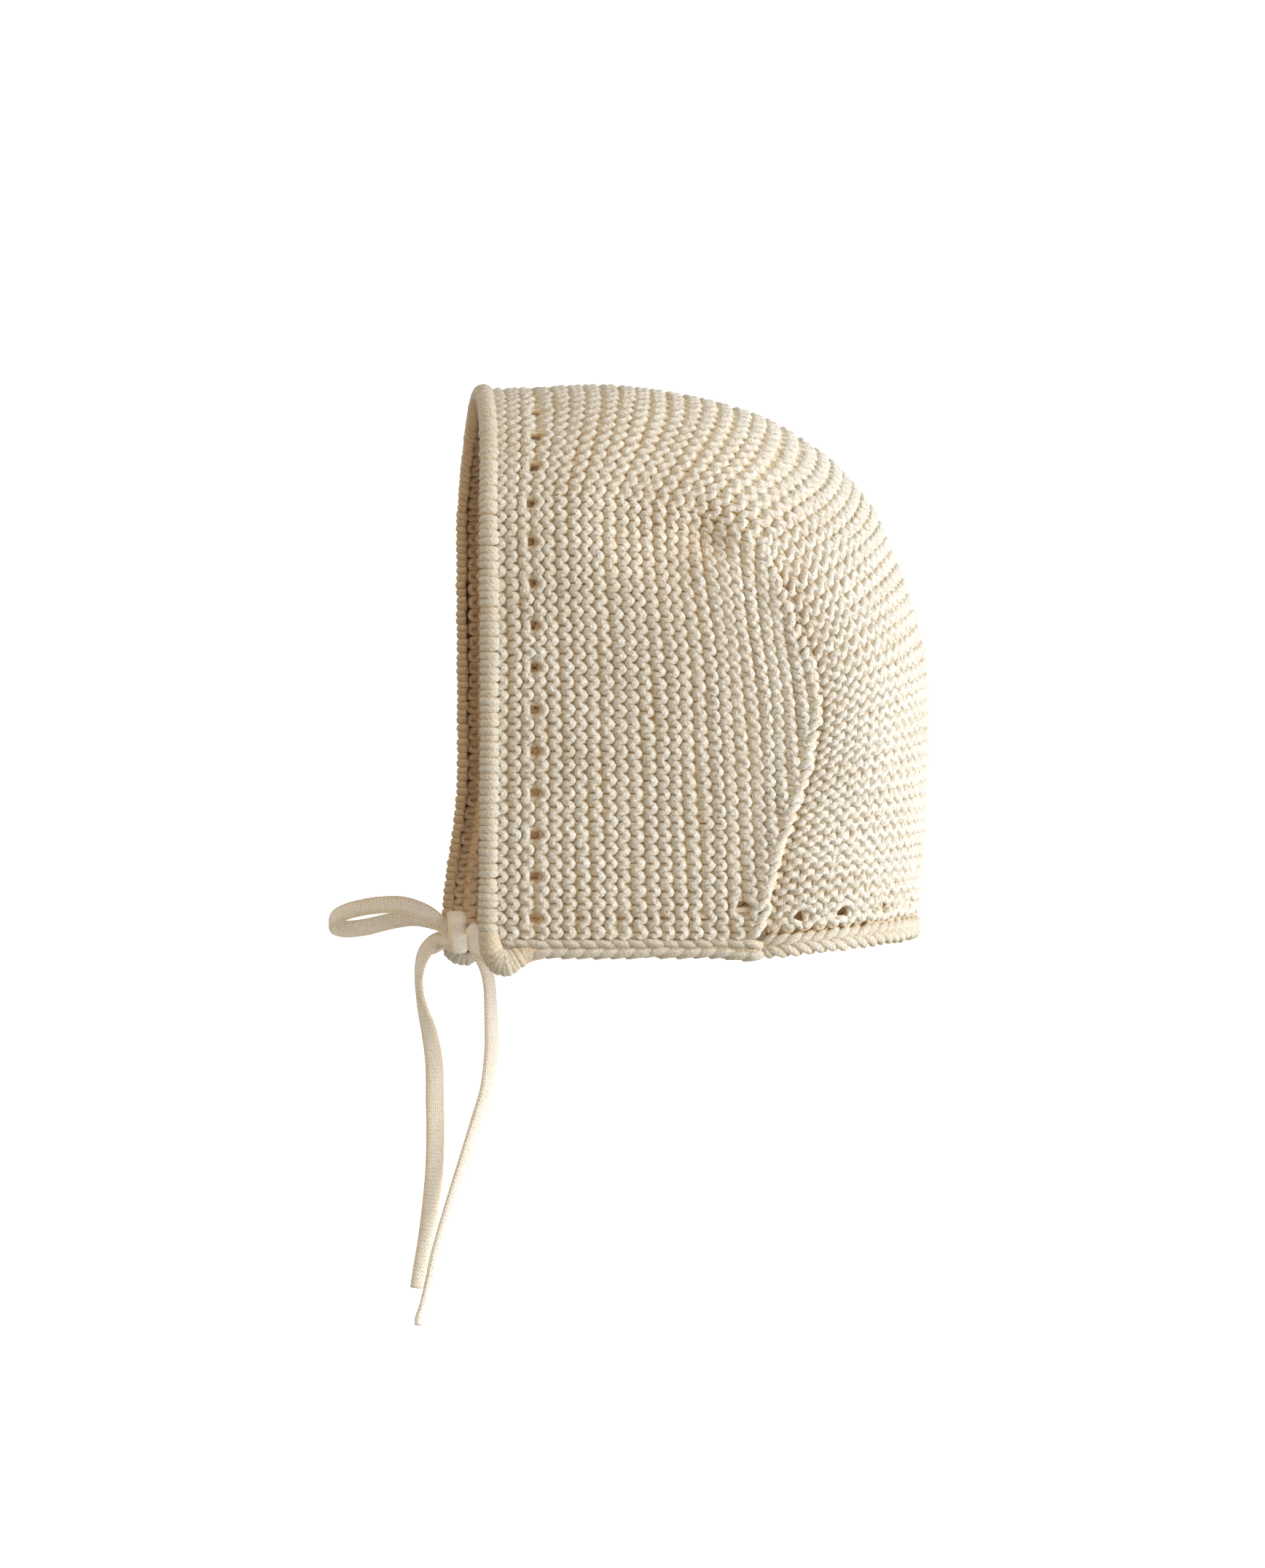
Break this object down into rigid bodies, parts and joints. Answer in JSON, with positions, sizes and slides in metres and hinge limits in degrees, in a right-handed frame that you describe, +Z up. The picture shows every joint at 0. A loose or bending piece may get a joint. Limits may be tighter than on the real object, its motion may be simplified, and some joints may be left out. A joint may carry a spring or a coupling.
{
  "type": "baby bonnet",
  "caption": "Knitted baby bonnet in cream wool: garter-stitch hood with a back panel let in, rolled front hem, pierced eyelets, neck band and tape ties in a bow.",
  "frame": {"origin": "inside the top of the crown, on the middle plane, where a head bears", "axes": "+X to the wearer's left, -Y to the face, +Z up"},
  "size_m": [0.1104, 0.1658, 0.2579],
  "materials": {
    "knit": "matt cream wool",
    "tie": "matt cream wool tape"
  },
  "bodies": {
    "root": {"hood": "knit", "back_panel": "knit", "front_hem": "knit", "neck_band_left": "knit", "neck_band_right": "knit", "neck_band_back": "knit", "bow_knot": "tie", "bow_loop": "tie", "tie_left_lead": "tie", "tie_right_lead": "tie", "tie_left_end": "tie", "tie_right_end": "tie"}
  },
  "joints": []
}
